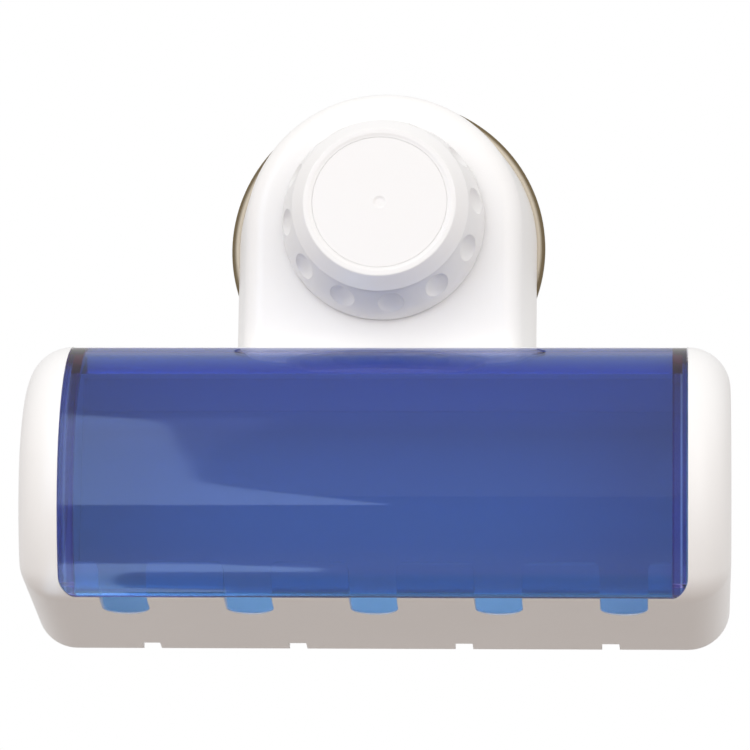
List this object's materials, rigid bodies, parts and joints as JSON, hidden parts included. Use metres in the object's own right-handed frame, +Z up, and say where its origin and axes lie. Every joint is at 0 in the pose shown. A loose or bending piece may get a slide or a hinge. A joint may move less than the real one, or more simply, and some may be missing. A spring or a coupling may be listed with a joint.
{
  "type": "wall-mounted toothbrush holder",
  "caption": "Toothbrush holder with brush slots along its lower edge, a clear flip-up front lid and a twist-lock suction mount.",
  "frame": {"origin": "centre of the suction disc, on the surface of the wall", "axes": "+X to the viewer's right along the length, +Y straight into the wall, +Z up"},
  "size_m": [0.1998, 0.07, 0.1666],
  "materials": {
    "white_plastic": "satin moulded",
    "knob_plastic": "satin moulded",
    "cover_plastic": "fine texture",
    "blue_clear_plastic": "clear tinted, polished",
    "disc_rubber": "smooth",
    "pad_rubber": "matt",
    "nylon": "satin",
    "steel": "zinc plated"
  },
  "bodies": {
    "holder": {"housing": "white_plastic", "rear_cover": "cover_plastic", "cover_screw_1": "steel", "cover_screw_2": "steel", "cover_screw_3": "steel", "cover_screw_4": "steel", "hinge_pin_left": "steel", "hinge_pin_right": "steel", "thrust_washer": "nylon", "suction_disc": "disc_rubber", "wall_pad_left": "pad_rubber", "wall_pad_right": "pad_rubber"},
    "lid": {"lid": "blue_clear_plastic"},
    "knob": {"knob": "knob_plastic", "knob_cap": "knob_plastic", "knob_nut": "steel"},
    "stud": {"stud_hub": "nylon", "pull_stud": "steel", "stop_washer": "steel", "stop_screw": "steel"}
  },
  "joints": [
    {"name": "lid_hinge", "type": "hinge", "parent": "holder", "child": "lid", "pos_m": [0, -0.04233, -0.04452], "axis": [-1, 0, 0], "range_deg": [0, 90]},
    {"name": "knob_turn", "type": "hinge", "parent": "holder", "child": "knob", "pos_m": [0, 0, 0], "axis": [0, 1, 0], "range_deg": [0, 360]},
    {"name": "stud_pull", "type": "slide", "parent": "holder", "child": "stud", "axis": [0, -1, 0], "range_m": [0, 0.003], "deforming": ["suction_disc"]}
  ],
  "couplings": [
    {"joint": "stud_pull", "follows": "knob_turn", "m_per_rad": 0.00047746}
  ]
}
